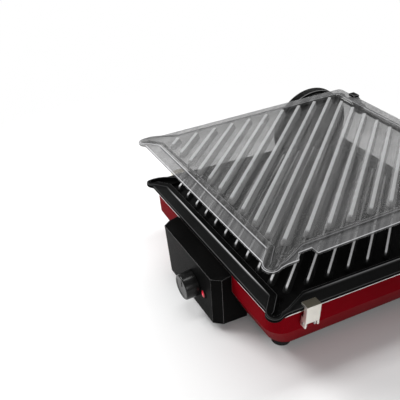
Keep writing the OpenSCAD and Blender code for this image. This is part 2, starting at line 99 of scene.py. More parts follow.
def at_dial(points, x, z):
    """A dial's own frame on the control box's leaning front, its axis out of the face, in metres."""
    s = bpy.context.scene.grill_controls
    return at_rim(tipped(points, math.pi / 2 + s.face_angle) + [x, s.face_place * MM, z])


def shell(rings):
    """A closed shell from rings[k, n, xyz]: quads from ring to ring, the first and last shut by a fan.

    Point n of ring k has number k * around + n, and the middles of the two fans come last.
    """
    count, around = rings.shape[:2]
    points = np.concatenate([rings.reshape(-1, 3), rings[0].mean(0)[None], rings[-1].mean(0)[None]])
    n = np.arange(around)
    m = (n + 1) % around
    row = np.arange(count - 1)[:, None] * around
    quads = np.stack([row + n, row + m, row + around + m, row + around + n], -1).reshape(-1, 4)
    top = (count - 1) * around
    first = np.stack([m, n, np.full(around, count * around)], -1)
    last = np.stack([top + n, top + m, np.full(around, count * around + 1)], -1)
    return points, (quads, first, last)


def revolve(profile, steps):
    """Rings of a profile[k, (radius, height)] turned about Z: (r cos a, r sin a, h)."""
    a = np.linspace(0, 2 * np.pi, steps, endpoint=False)
    r, h = profile.T[:, :, None]
    return np.stack([r * np.cos(a), r * np.sin(a), h + 0 * a], -1)


def units(a, b):
    """Unit directions from points a to points b."""
    way = b - a
    return way / np.linalg.norm(way, axis=1)[:, None]


def corner_arcs(corners, u, v, reach, steps):
    """Arcs[corner, step, xy] that touch both sides of each corner, where u comes in and v goes out.

    The corner P with reach d is the rational curve, for t from 0 to 1 and w = cos(turn / 2),
    ((1-t)^2 (P - d u) + 2 w t (1-t) P + t^2 (P + d v)) / ((1-t)^2 + 2 w t (1-t) + t^2).
    """
    w = np.sqrt(np.clip((1 + (u * v).sum(1)) / 2, 0, 1))[:, None, None]
    t = np.linspace(0, 1, steps)[None, :, None]
    near, middle, far = (1 - t) ** 2, 2 * w * t * (1 - t), t**2
    a, b, c = (corners - reach * u)[:, None], corners[:, None], (corners + reach * v)[:, None]
    return (near * a + middle * b + far * c) / (near + middle + far)


def rounded(corners, steps):
    """An open profile through corners[k, (x, y, radius)], whose arcs reach radius * tan(turn / 2)."""
    p = np.array(corners, float)
    q = p[:, :2]
    u, v = units(q[:-2], q[1:-1]), units(q[1:-1], q[2:])
    cosine = (u * v).sum(1)
    reach = p[1:-1, 2] * np.sqrt((1 - cosine) / (1 + cosine))
    arcs = corner_arcs(q[1:-1], u, v, reach[:, None], steps)
    return np.concatenate([q[:1], arcs.reshape(-1, 2), q[-1:]])


def placed(name, data):
    """A new object of that data, linked to the scene."""
    thing = bpy.data.objects.new(name, data)
    bpy.context.scene.collection.objects.link(thing)
    return thing


def make_piece(name, shells, body, finishes, stands_for, sharp):
    """One object from shells of (points in metres, faces, finish number, painted highlight), smooth up to
    an angle.

    That value runs from 0 to 1 at each point: where a finish is painted bright as a highlight, as on a
    crest; on the lens, its glow.
    """
    points, faces, index, painted_highlight_and_lens_glow, offset = [], [], [], [], 0
    for p, blocks, finish, w in shells:
        points.append(p)
        for block in blocks:
            faces += (block + offset).tolist()
        index += [finish] * (len(faces) - len(index))
        painted_highlight_and_lens_glow.append(np.broadcast_to(w, len(p)))
        offset += len(p)
    mesh = bpy.data.meshes.new(name)
    mesh.from_pydata(np.concatenate(points).tolist(), [], faces)
    mesh.polygons.foreach_set("material_index", index)
    mesh.polygons.foreach_set("use_smooth", [True] * len(faces))
    mesh.set_sharp_from_angle(angle=math.radians(sharp))
    layer = mesh.attributes.new("painted_highlight_and_lens_glow", "FLOAT", "POINT")
    layer.data.foreach_set("value", np.concatenate(painted_highlight_and_lens_glow).astype(np.float32))
    for finish in finishes:
        mesh.materials.append(materials()[finish])
    mesh.validate()
    mesh.update()
    piece = placed(name, mesh)
    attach(piece, body)
    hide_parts(*stands_for)


def dress_node(name, finish, edge=0.0, segments=2, painted_highlight=None):
    """A CAD node keeps its shape, takes a finish, and has its sharp edges softened by so many mm.

    The softened edges take the finish with a painted highlight where one is given.
    """
    node = NODES[name]
    node.data.materials.clear()
    node.data.materials.append(materials()[finish])
    if painted_highlight:
        node.data.materials.append(materials()[painted_highlight])
    if edge:
        weld = node.modifiers.new("Weld", "WELD")
        weld.merge_threshold = WELD_REACH
        bevel = node.modifiers.new("Soft edges", "BEVEL")
        bevel.width = edge / MM
        bevel.segments = segments
        bevel.limit_method = "ANGLE"
        bevel.angle_limit = SOFTENED_ANGLE
        bevel.harden_normals = True
        bevel.use_clamp_overlap = True
        # the bevel faces take the painted highlight finish
        if painted_highlight:
            bevel.material = 1


# ---- shader building ----------------------------------------------------------------------------


def fill(node, key, value):
    """Sets an input: in_N is input number N, and any other key is the input of that name."""
    name = key.replace("_", " ").title().replace("Ior", "IOR")
    node.inputs[int(key[3:]) if key.startswith("in_") else name].default_value = value


def add(tree, kind, **values):
    """A node of that kind; each value goes to its property of that name, or else to an input."""
    node = tree.nodes.new("ShaderNode" + kind)
    for key, value in values.items():
        if hasattr(node, key):
            setattr(node, key, value)
        else:
            fill(node, key, value)
    return node


def join(tree, *links):
    """Links of (node, output, node, input), each output and input by its name or number."""
    for source, out, target, into in links:
        tree.links.new(source.outputs[out], target.inputs[into])


def texture(tree, kind, **values):
    """A texture node that reads Object coordinates."""
    node = add(tree, "Tex" + kind, **values)
    join(tree, (add(tree, "TexCoord"), "Object", node, "Vector"))
    return node


def ramp(tree, source, out, *stops):
    """A colour ramp over a node's output, from stops of (place, grey or colour)."""
    node = add(tree, "ValToRGB")
    elements = node.color_ramp.elements
    while len(elements) < len(stops):
        elements.new(0.5)
    for element, (place, colour) in zip(elements, stops):
        element.position = place
        element.color = (colour, colour, colour, 1) if isinstance(colour, float) else (*colour, 1)
    join(tree, (source, out, node, 0))
    return node


def drift(tree, source, out, first, last):
    """A slow change from one tone to another, over the middle of a noise's range."""
    return ramp(tree, source, out, (0.3, first), (0.7, last))


def over(tree, mask, under, colour):
    """A plain colour over another by a mask, both given as (node, output); the result is output 2."""
    mix = add(tree, "Mix", data_type="RGBA", in_7=(*colour, 1))
    join(tree, (*mask, mix, 0), (*under, mix, 6))
    return mix


def raised(tree, shader, source, **values):
    """Bump on a shader, from a node's first output."""
    bump = add(tree, "Bump", **values)
    join(tree, (source, 0, bump, "Height"), (bump, 0, shader, "Normal"))


def facing_up(tree, low, high):
    """How far faces turn up: the normal's z, stretched so that low is 0 and high is 1."""
    normal, split = add(tree, "NewGeometry"), add(tree, "SeparateXYZ")
    up = add(tree, "MapRange", from_min=low, from_max=high)
    join(tree, (normal, "Normal", split, 0), (split, 2, up, 0))
    return up


def group(name, inputs, outputs):
    """An empty shader group with float inputs of (name, default, low, high) and named float outputs."""
    tree = bpy.data.node_groups.new(name, "ShaderNodeTree")
    for label, default, low, high in inputs:
        socket = tree.interface.new_socket(name=label, in_out="INPUT", socket_type="NodeSocketFloat")
        socket.default_value, socket.min_value, socket.max_value = default, low, high
    for label in outputs:
        tree.interface.new_socket(name=label, in_out="OUTPUT", socket_type="NodeSocketFloat")
    return tree, tree.nodes.new("NodeGroupInput"), tree.nodes.new("NodeGroupOutput")


def use(tree, shared, *values):
    """A shader group placed in a tree, with its inputs set in order."""
    node = add(tree, "Group", node_tree=shared)
    for socket, value in zip(node.inputs, values):
        socket.default_value = value
    return node


@cache
def grain_group():
    """Moulded or cast grain: fine noise and pits; puts out a height and a slow unevenness."""
    tree, gin, gout = group(
        "Surface grain",
        [("Grain per metre", 2200, 10, 20000), ("Pits", 0.3, 0, 1),
         ("Unevenness per metre", 18, 1, 500)],
        ["Height", "Unevenness"],
    )
    fine = texture(tree, "Noise", detail=3.0)
    pits = texture(tree, "Voronoi")
    slow = texture(tree, "Noise", detail=2.0)
    shape = add(tree, "MapRange", from_min=0.0, from_max=0.45)
    mix = add(tree, "Mix")
    join(
        tree,
        (gin, "Grain per metre", fine, "Scale"),
        (gin, "Grain per metre", pits, "Scale"),
        (gin, "Unevenness per metre", slow, "Scale"),
        (pits, "Distance", shape, 0),
        (gin, "Pits", mix, 0),
        (fine, "Fac", mix, 2),
        (shape, 0, mix, 3),
        (mix, 0, gout, "Height"),
        (slow, "Fac", gout, "Unevenness"),
    )
    return tree


@cache
def dust_group():
    """Specks that settle on faces turned up: high where the face is level and a coarse noise peaks."""
    tree, gin, gout = group(
        "Settled dust", [("Amount", 0.15, 0, 1), ("Specks per metre", 900, 10, 9000)], ["Mask"])
    specks = texture(tree, "Noise", detail=4.0)
    peaks = add(tree, "MapRange", from_min=0.58, from_max=0.75)
    both = add(tree, "Math", operation="MULTIPLY")
    scaled = add(tree, "Math", operation="MULTIPLY")
    join(
        tree,
        (gin, "Specks per metre", specks, "Scale"),
        (specks, "Fac", peaks, 0),
        (peaks, 0, both, 0),
        (facing_up(tree, 0.2, 0.9), 0, both, 1),
        (both, 0, scaled, 0),
        (gin, "Amount", scaled, 1),
        (scaled, 0, gout, "Mask"),
    )
    return tree


@cache
def brush_group():
    """Drawn or brushed lines: noise on squeezed coordinates; puts out a height and a tone."""
    tree, gin, gout = group(
        "Brushed lines",
        [("Across X", 2500, 0, 9000), ("Across Y", 2500, 0, 9000), ("Across Z", 40, 0, 9000),
         ("Turn", 0, -7, 7)],
        ["Height", "Tone"],
    )
    place = add(tree, "TexCoord")
    turned = add(tree, "VectorRotate", rotation_type="Z_AXIS")
    scale = add(tree, "CombineXYZ")
    stretch = add(tree, "VectorMath", operation="MULTIPLY")
    lines = add(tree, "TexNoise", scale=1.0, detail=3.0)
    tone = texture(tree, "Noise", scale=45.0, detail=2.0)
    join(
        tree,
        (gin, "Across X", scale, 0),
        (gin, "Across Y", scale, 1),
        (gin, "Across Z", scale, 2),
        (place, "Object", turned, "Vector"),
        (gin, "Turn", turned, "Angle"),
        (turned, 0, stretch, 0),
        (scale, 0, stretch, 1),
        (stretch, 0, lines, "Vector"),
        (lines, "Fac", gout, "Height"),
        (tone, "Fac", gout, "Tone"),
    )
    return tree


@cache
def painted_highlight_group():
    """Painted highlights: the piece's own painted highlight value, broken up by a noise, as a mask from 0
    to 1.
    """
    tree, gin, gout = group("Painted highlights", [("Amount", 1.0, 0, 1), ("Breaks", 0.25, 0, 1)], ["Mask"])
    painted_highlight_and_lens_glow = add(tree, "Attribute", attribute_name="painted_highlight_and_lens_glow")
    noise = texture(tree, "Noise", scale=260.0, detail=3.0)
    broken = add(tree, "Math", operation="MULTIPLY")
    less = add(tree, "Math", operation="SUBTRACT", in_0=1.0)
    kept = add(tree, "Math", operation="MULTIPLY")
    scaled = add(tree, "Math", operation="MULTIPLY", use_clamp=True)
    join(
        tree,
        (noise, "Fac", broken, 0),
        (gin, "Breaks", broken, 1),
        (broken, 0, less, 1),
        (painted_highlight_and_lens_glow, "Fac", kept, 0),
        (less, 0, kept, 1),
        (kept, 0, scaled, 0),
        (gin, "Amount", scaled, 1),
        (scaled, 0, gout, "Mask"),
    )
    return tree


def start_material(name, **values):
    """A material, its tree and its Principled shader, whose inputs are set by name."""
    material = bpy.data.materials.new(name)
    material.use_nodes = True
    tree = material.node_tree
    shader = tree.nodes["Principled BSDF"]
    for key, value in values.items():
        fill(shader, key, value)
    return material, tree, shader


def use_grain(tree, shader, per_metre, pits, strength, distance, roughness, slow=18):
    """Grain on a shader: bump from the height, and roughness that drifts between two values."""
    grain = use(tree, grain_group(), per_metre, pits, slow)
    raised(tree, shader, grain, strength=strength, distance=distance)
    join(tree, (drift(tree, grain, 1, *roughness), 0, shader, "Roughness"))
    return grain


def dusty(tree, shader, tone, amount, pale):
    """A tone as the shader's colour, with a little pale dust on the faces turned up."""
    specks = use(tree, dust_group(), amount)
    join(tree, (over(tree, (specks, 0), (tone, 0), pale), 2, shader, "Base Color"))


def moulding(name, dark, light, roughness, per_metre=2600, strength=0.25, dust=0.05, ior=1.2):
    """Moulded plastic, rubber or clay: a fine grain, a slow drift of tone, a little dust on top faces."""
    material, tree, shader = start_material(name, ior=ior)
    grain = use_grain(tree, shader, per_metre, 0.35, strength, 0.0002, roughness)
    dusty(tree, shader, drift(tree, grain, 1, dark, light), dust, (0.35, 0.34, 0.32))
    return material


def enamel(name, deep, bright):
    """Fired enamel: a slow drift of tone and a faint orange-peel surface with little shine."""
    material, tree, shader = start_material(name, ior=1.04)
    grain = use_grain(tree, shader, 420, 0.0, 0.06, 0.0006, (0.3, 0.42), slow=9)
    dusty(tree, shader, drift(tree, grain, 1, deep, bright), 0.02, (0.5, 0.45, 0.42))
    return material


def metal(name, dark, light, roughness, across, strength=0.08):
    """Drawn or brushed metal: fine lines along one way, and a slow drift between two tones."""
    material, tree, shader = start_material(name, metallic=1.0)
    brush = use(tree, brush_group(), *across)
    raised(tree, shader, brush, strength=strength, distance=0.0001)
    join(
        tree,
        (drift(tree, brush, 1, dark, light), 0, shader, "Base Color"),
        (ramp(tree, brush, 0, (0.25, roughness[0]), (0.75, roughness[1])), 0, shader, "Roughness"),
    )
    return material


def top_shaded_metal(name, dark, light, top):
    """Drawn metal whose faces turned up are painted darker as painted shade, through a soft edge."""
    material = metal(name, dark, light, (0.3, 0.42), (60, 2500, 60), 0.12)
    tree = material.node_tree
    shader = tree.nodes["Principled BSDF"]
    bare = shader.inputs["Base Color"].links[0].from_node
    # painted shade: the top colour over faces turned up
    top_shaded = over(tree, (facing_up(tree, 0.55, 0.85), 0), (bare, 0), top)
    join(tree, (top_shaded, 2, shader, "Base Color"))
    return material


def coated_metal(name, dark, light, crest, roughness):
    """Non-stick coating: near black with fine pale flecks, and a satin grey painted where its points carry
    a painted highlight.
    """
    material, tree, shader = start_material(name, ior=1.04)
    grain = use_grain(tree, shader, 3200, 0.4, 0.22, 0.0002, roughness, slow=25)
    flecks = texture(tree, "Voronoi", scale=1400.0)
    pale = add(tree, "MapRange", from_min=0.16, from_max=0.06)
    join(tree, (flecks, "Distance", pale, 0))
    speckled = over(tree, (pale, 0), (drift(tree, grain, 1, dark, light), 0), (0.03, 0.03, 0.032))
    # painted highlight: the crest colour laid over the coating by the highlight mask
    painted_highlight = over(tree, (use(tree, painted_highlight_group()), 0), (speckled, 2), crest)
    join(tree, (painted_highlight, 2, shader, "Base Color"))
    return material


def smoked_plastic(name, dark, light, crest, opacity, crest_opacity):
    """Smoked see-through moulding: a grey streaked along the ribs, with a paler painted highlight on
    crests, where it is also denser.
    """
    material, tree, shader = start_material(name, ior=1.12)
    grain = use_grain(tree, shader, 900, 0.0, 0.03, 0.0002, (0.22, 0.32), slow=30)
    brush = use(tree, brush_group(), 9, 230, 30, -bpy.context.scene.grill_plate.angle)
    haze = ramp(tree, brush, 0, (0.38, dark), (0.62, light))
    # painted highlight: the mask of points painted bright, laid over the haze as the crest colour
    painted_highlight = use(tree, painted_highlight_group(), 1.0, 0.15)
    alpha = add(tree, "Mix", in_3=crest_opacity)
    join(
        tree,
        (over(tree, (painted_highlight, 0), (haze, 0), crest), 2, shader, "Base Color"),
        (painted_highlight, 0, alpha, 0),
        (drift(tree, grain, 1, opacity - 0.03, opacity + 0.03), 0, alpha, 2),
        (alpha, 0, shader, "Alpha"),
    )
    return material


def lit_lens(name):
    """A red lens lit from behind: brightest in the middle by the glow value on its points, less a moulded
    sparkle.
    """
    material, tree, shader = start_material(
        name, specular_ior_level=0.3, roughness=0.15, emission_strength=1.0)
    sparkle = texture(tree, "Voronoi", scale=900.0)
    middle = add(tree, "Attribute", attribute_name="painted_highlight_and_lens_glow")
    broken = add(tree, "Math", operation="MULTIPLY", in_1=0.35)
    level = add(tree, "Math", operation="SUBTRACT", use_clamp=True)
    join(
        tree,
        (sparkle, "Distance", broken, 0),
        (middle, "Fac", level, 0),
        (broken, 0, level, 1),
    )
    dark, red, bright = (0.16, 0.002, 0.008), (0.5, 0.008, 0.03), (0.8, 0.03, 0.06)
    glow = ramp(tree, level, 0, (0.0, dark), (0.5, red), (1.0, bright))
    join(tree, (glow, 0, shader, "Emission Color"), (glow, 0, shader, "Base Color"))
    return material


def clear_glass(name):
    """Thin lamp glass with a faint ripple."""
    material, tree, shader = start_material(name, roughness=0.02, transmission_weight=0.9, ior=1.45)
    grain = use(tree, grain_group(), 300)
    raised(tree, shader, grain, strength=0.05)
    join(tree, (drift(tree, grain, 1, (0.9, 0.6, 0.45), (1.0, 0.75, 0.6)), 0, shader, "Base Color"))
    return material


@cache
def materials():
    """Every finish of the grill by name, built once."""
    red = bpy.context.scene.grill_finish.housing
    deep_red = [c * 0.75 for c in red]
    return {
        "enamel": enamel("Red enamel", deep_red, red),
        "box": moulding("Satin black plastic", 0.0025, 0.0045, (0.34, 0.42), dust=0.01, ior=1.07),
        "black": moulding("Moulded black plastic", 0.003, 0.005, (0.4, 0.5), dust=0.01, ior=1.07),
        # Painted highlight for the softened edges of black mouldings: a lighter grey on their bevel faces.
        "painted edge highlight": moulding("Plastic edge with painted highlight", 0.18, 0.24, (0.36, 0.46), dust=0.0, ior=1.1),
        "inner": moulding("Heat-proof moulding", 0.012, 0.02, (0.5, 0.65), ior=1.1),
        "bottom": moulding("Bottom moulding", 0.024, 0.036, (0.45, 0.6), per_metre=900, strength=0.4),
        "knob": moulding("Knob plastic", 0.003, 0.005, (0.17, 0.23), strength=0.08, dust=0.01, ior=1.33),
        "rubber": moulding("Foot rubber", 0.012, 0.02, (0.7, 0.9), per_metre=1500, strength=0.6, dust=0.2),
        "ceramic": moulding("Ceramic block", 0.55, 0.68, (0.45, 0.6), per_metre=1200, strength=0.2),
        "trim": metal("Polished trim", 0.7, 0.85, (0.08, 0.16), (40, 40, 2500), 0.03),
        "steel": metal("Brushed steel", 0.42, 0.56, (0.22, 0.38), (2500, 60, 2500)),
        # The clip's faces turned up take a painted shade.
        "clip": top_shaded_metal("Spring steel", (0.82, 0.79, 0.72), (0.92, 0.9, 0.83), (0.22, 0.2, 0.15)),
        "sheet": metal("Reflector sheet", 0.5, 0.66, (0.16, 0.3), (60, 1800, 1800), 0.12),
        "element": metal("Oxidised element sheath", (0.10, 0.075, 0.06), (0.2, 0.17, 0.15), (0.4, 0.6),
                         (900, 900, 900), 0.3),
        "plate": coated_metal("Non-stick coating", 0.002, 0.005, (0.8, 0.81, 0.82), (0.24, 0.36)),
        # The ribs' coating is painted lighter than the plate's as a painted sheen on their sides, and
        # brighter on crests as a painted highlight.
        "plate ribs with painted sheen": coated_metal("Non-stick ribs with painted sheen", 0.009, 0.016, (0.92, 0.92, 0.93), (0.22, 0.32)),
        "lid": smoked_plastic("Smoked lid", 0.045, 0.13, (0.75, 0.75, 0.77), 0.52, 0.85),
        # The lid's ribs are the panel's smoked plastic, painted lighter and clearer as painted light on
        # their walls.
        "lid ribs painted lighter": smoked_plastic("Smoked lid ribs painted lighter", 0.32, 0.44, (0.45, 0.455, 0.46), 0.36, 0.6),
        "lens": lit_lens("Lit red lens"),
        "glass": clear_glass("Lamp glass"),
    }


# ---- the ribbed panel that the plate and the lid share ------------------------------------------

# Right half of each closed line round the panel, from the front to the back, as (x, y, reach of the
# corner's arc): the dam's start, five round the lobe, three along the thin wall, where that wall meets the
# side bead, two behind the clip, and the rear corner.
OUTLINE = [
    (118, -157.5, 2), (136.8, -157.5, 0.6), (139.4, -162, 4.4),
    (153.2, -162, 8.2), (153.2, -151, 2.6), (150.6, -144.8, 1.5),
    (149.8, -138.5, 2), (150, -126.5, 0.8), (150, -120.5, 0.8),
    (150, -113, 1), (150, -105.2, 0.1), (150, -104.8, 0.1), (150, HALF_D, 6),
]
BEAD_OUT = [
    (121.5, -144.7, 1.2), (134.8, -156.4, 1.0), (139.9, -161.0, 4.0),
    (152.1, -161.0, 7.4), (152.1, -150.3, 2.4), (149.4, -146.8, 0.8),
    (147.9, -138.2, 1.5), (142.2, -126.4, 0.3), (139.3, -120.5, 0.3),
    (135.7, -113.1, 3), (135.7, -105.4, 0.1), (135.7, -104.4, 0.1), (135.7, 141.7, 4),
]
BEAD_IN = [
    (124.9, -136.5, 1.2), (139.0, -148.9, 1.0), (141.8, -151.4, 1.6),
    (144.4, -157.2, 2.6), (149.2, -155.6, 2.6), (149.0, -149.5, 1.0),
    (145.0, -137.5, 1.5), (138.8, -125.0, 0.3), (135.8, -119.0, 0.3),
    (131.6, -110.7, 2), (131.5, -105.4, 0.1), (131.5, -104.4, 0.1), (131.5, 137.5, 3),
]
POCKET = [
    (124.9, -136.5, 0.4), (126.2, -136.5, 0.5), (127.6, -136.5, 0.5),
    (130.6, -136.5, 2.0), (131.5, -134.0, 0.6), (131.5, -131.0, 0.6),
    (131.5, -122.5, 1.5), (131.5, -118.5, 0.3), (131.5, -114.5, 0.3),
    (131.5, -110.7, 1.5), (131.5, -105.4, 0.1), (131.5, -104.4, 0.1), (131.5, 137.5, 3),
]
# The lid's right side steps in over the clip, at the four corners before the rear one.
STEP_IN = [(140.5, -120.5, 0.8), (140.5, -113, 1), (140.5, -105, 0.8), (150, -105, 0.8)]
NOTCHED = OUTLINE[:8] + STEP_IN + OUTLINE[12:]

MIDDLE = np.array([0.0, 0.5])  # middle of the pocket's floor
FLOOR = 5.0  # depth of the pocket below the rim
WALKWAY = 1.6  # depth of the way from the pocket to the lobes
BEAD, LIP = 3.0, 0.7  # height of the bead above the rim, and of the lip it falls to round the lobes
LOBE_X, LOBE_Y = 147.5, -157.5  # middle of the right pouring lobe
LIP_REACH, LIP_SLOPE = 5.0, 9.0  # the lip's reach from the lobe's middle, and its slope up to the bead

FIELD_LOW, FIELD_HIGH = np.array([-131.0, -130.0]), np.array([119.5, 130.5])  # corners of the rib field
RIB_COUNT, RIB_PHASE = 20, 0.3  # ribs tried over the field, and their shift in rib distances
SHORTEST_RIB = 15.0
RIB_FOOT, RIB_RISE = -5.3, 2.0  # the rib's height, from a little inside the floor to above the rim
RIB_FOOT_W = 8.6
RIB_SLOPE, RIB_NOSE = 3.0, 4.0  # lengths over which a rib's end rises, and widens
RIB_STATIONS = 14  # along a rib, between its ends
END_STATIONS = np.array([0.0, 0.5, 1.4, 2.6, 3.8, 4.8, 5.6, 6.6])


def closed_line(right_half, left_half, arc=7, straight=5):
    """A closed line from its halves: each corner is an arc, and each straight is cut evenly."""
    right = np.array(right_half, float)
    left = np.array(left_half, float)[::-1] * [-1, 1, 1]
    p = np.concatenate([right, left])
    q, reach = p[:, :2], p[:, 2:]
    arcs = corner_arcs(q, units(np.roll(q, 1, 0), q), units(q, np.roll(q, -1, 0)), reach, arc)
    start, end = arcs[:, -1:], np.roll(arcs, -1, 0)[:, :1]
    s = np.linspace(0, 1, straight + 2)[None, 1:-1, None]
    return np.concatenate([arcs, start + (end - start) * s], 1).reshape(-1, 2)


def towards(a, b, mm):
    """Points that many millimetres from line a on the way to line b, never past the middle."""
    way = b - a
    length = np.linalg.norm(way, axis=1)[:, None]
    return a + way * np.minimum(mm / np.maximum(length, 1e-6), 0.45)


def heading(line):
    """Unit direction (dx, dy) of a closed line at each point, from the point before to the one after."""
    return units(np.roll(line, 1, 0), np.roll(line, -1, 0))


def inward(line, mm):
    """The closed line moved in by that many millimetres, square to itself: p + mm (-dy, dx)."""
    return line + mm * heading(line)[:, ::-1] * [-1, 1]


def panel_shell(right_half, thick, lit_edge):
    """The panel without its ribs, as rings from its floor's middle out over the bead and back underneath.

    Each ring is a closed line at one height. The bead's top is at LIP + (BEAD - LIP) k^2 (3 - 2 k), where
    k runs from 0 to 1 with the distance from the lobe's middle, so fat is poured off over a low lip.
    With a small lit_edge the crest carries its painted highlight only away from the lobes, and most at
    front and back.
    """
    out = closed_line(right_half, OUTLINE)
    bead_out, bead_in, pocket = (closed_line(half, half) for half in (BEAD_OUT, BEAD_IN, POCKET))
    lobe = np.hypot(np.abs(bead_out[:, 0]) - LOBE_X, bead_out[:, 1] - LOBE_Y)
    k = np.clip((lobe - LIP_REACH) / LIP_SLOPE, 0, 1)
    top = LIP + (BEAD - LIP) * k * k * (3 - 2 * k)
    # Painted highlight on the bead's outer crest: strongest where the bead runs across, weaker along the
    # sides, faded near the lobes.
    front = heading(bead_out)[:, 0] ** 2
    away = np.clip((lobe - 45 + 13 * front) / (35 - 15 * front), 0, 1)
    crest = (0.4 + 0.6 * front) * (lit_edge + (1 - lit_edge) * away)
    in_way = np.linalg.norm(bead_in - pocket, axis=1) > 0.4
    walk = np.where(in_way, -WALKWAY, -WALKWAY - 0.3)
    foot = np.where(in_way[:, None], inward(bead_in, 0.5), towards(pocket, bead_in, 1.0))
    under = -FLOOR - thick

    # A ring's last value is its painted highlight, which the finish turns into a lighter colour.
    def ring(line, height, bright=0.0):
        return np.column_stack([line, *(np.broadcast_to(value, len(line)) for value in (height, bright))])

    rings = [
        # the floor and its round foot, then the pocket's wall
        ring(MIDDLE + (pocket - MIDDLE) * 0.5, -FLOOR),
        ring(inward(pocket, 2.0), -FLOOR),
        ring(inward(pocket, 1.1), -FLOOR + 0.25),
        ring(inward(pocket, 0.35), -FLOOR + 0.95),
        ring(inward(pocket, 0.05), -FLOOR + 2.2),
        ring(pocket, -WALKWAY - 0.6),
        # the way to the lobes
        ring(towards(pocket, bead_in, 0.2), walk - 0.1),
        ring(towards(pocket, bead_in, 0.8), walk),
        ring(foot, walk + 0.02),
        ring(bead_in, walk + 0.35),
        # up over the bead and down outside it
        ring(towards(bead_in, bead_out, 0.1), top * 0.3),
        ring(towards(bead_in, bead_out, 0.3), top - 0.6),
        ring(towards(bead_in, bead_out, 0.5), top - 0.15, 0.2 + 0.4 * lit_edge),
        ring(towards(bead_in, bead_out, 1.0), top),
        ring(towards(bead_out, bead_in, 1.3), top),
        ring(towards(bead_out, bead_in, 0.95), top - 0.08, 0.25 * crest),
        ring(towards(bead_out, bead_in, 0.5), top - 0.5, crest),
        ring(towards(bead_out, bead_in, 0.3), top * 0.5 + 0.2, 0.25 * crest),
        ring(bead_out, 0.12, 0.02),
        # the flange and its rounded edge
        ring(towards(bead_out, out, 0.35), 0.0, 0.12 * lit_edge),
        ring(towards(out, bead_out, 1.0), 0.0, 0.12 * lit_edge),
        ring(towards(out, bead_out, 0.75), -0.02, 0.7 * lit_edge),
        ring(towards(out, bead_out, 0.22), -0.22, lit_edge),
        ring(out, -0.75),
        ring(out, -thick + 0.6),
        ring(towards(out, bead_out, 0.3), -thick + 0.1),
        # underneath, down the pocket's outside to its bottom
        ring(towards(out, bead_out, 0.9), -thick),
        ring(bead_out, -thick),
        ring(inward(pocket, -thick - 0.8), -thick),
        ring(inward(pocket, -thick), -thick - 0.8),
        ring(inward(pocket, -thick + 0.1), under + 1.2),
        ring(inward(pocket, -thick + 1.2), under),
        ring(MIDDLE + (pocket - MIDDLE) * 0.5, under),
    ]
    outward = np.array(rings[::-1])  # joined from the last to the first, its faces point outwards
    points, faces = shell(outward[..., :3])
    return points, faces, np.append(outward[..., 3], [0, 0])


def rib_ends(pitch, angle):
    """Both ends of each rib's middle line, with the unit directions along and across the ribs.

    A line base + t along enters the field at the larger of its near crossings with the field's sides in x
    and in y, and leaves it at the smaller of the far ones.
    """
    along = np.array([math.cos(angle), math.sin(angle)])
    across = np.array([math.sin(angle), -math.cos(angle)])
    offset = (np.arange(RIB_COUNT) - RIB_COUNT / 2 + RIB_PHASE) * pitch
    base = offset[:, None] * across
    t1, t2 = (FIELD_LOW - base) / along, (FIELD_HIGH - base) / along
    near, far = np.minimum(t1, t2).max(1), np.maximum(t1, t2).min(1)
    keep = far - near > SHORTEST_RIB
    base, near, far = base[keep], near[keep, None], far[keep, None]
    return base + near * along, base + far * along, along, across


def rib_shells(top_w, fall):
    """Ribs as closed shells: a rounded trapezium (x, z) carried along each rib to a blunt, rounded nose.

    At the distance e from the rib's nearer end the profile's height is scaled by
    sin(90 e / RIB_SLOPE) ^ 0.8 and its width by 0.55 + 0.45 sqrt(e / RIB_NOSE), each ratio at most 1.
    The crest carries a painted highlight, which falls to nothing within the given fall below the top.
    """
    plate = bpy.context.scene.grill_plate
    starts, ends, along, across = rib_ends(plate.pitch * MM, plate.angle)
    foot, top = RIB_FOOT_W / 2, top_w / 2
    left = [(-foot - 0.2, RIB_FOOT, 0), (-foot, RIB_FOOT + 0.4, 0.1), (-top, RIB_RISE, 0.5)]
    right = [(-x, z, radius) for x, z, radius in left[::-1]]
    profile_x, profile_z = rounded(left + right, 5).T
    shells = []
    for start, end in zip(starts, ends):
        length = np.linalg.norm(end - start)
        between = np.linspace(9, length - 9, RIB_STATIONS)
        d = np.concatenate([END_STATIONS, between, length - END_STATIONS[::-1]])
        e = np.minimum(d, length - d)[:, None]
        h = np.where(e < 1e-6, 0.02, np.sin(np.clip(e / RIB_SLOPE, 0, 1) * np.pi / 2) ** 0.8)
        x = profile_x * (0.55 + 0.45 * np.sqrt(np.clip(e / RIB_NOSE, 0, 1)))
        z = RIB_FOOT + (profile_z - RIB_FOOT) * h
        xy = start + d[:, None, None] * along + x[..., None] * across
        points, faces = shell(np.concatenate([xy, z[..., None]], -1))
        # painted highlight along the rib's top, gone near the rib's ends
        crest = np.clip((profile_z - RIB_RISE + fall) / 0.3, 0, 1) * np.clip((h - 0.7) / 0.2, 0, 1)
        shells.append((points, faces, np.append(crest, [0, 0])))
    return shells


def ribbed_piece(name, carry, panel, ribs, body, finishes, node):
    """The panel and its ribs as one object, carried to its place by the given function."""
    shells = [(0, panel_shell(*panel))] + [(1, rib) for rib in rib_shells(*ribs)]
    shells = [(carry(points), faces, finish, painted_highlight_and_lens_glow) for finish, (points, faces, painted_highlight_and_lens_glow) in shells]
    make_piece(name, shells, body, finishes, (node,), 50)


# ---- settings -----------------------------------------------------------------------------------


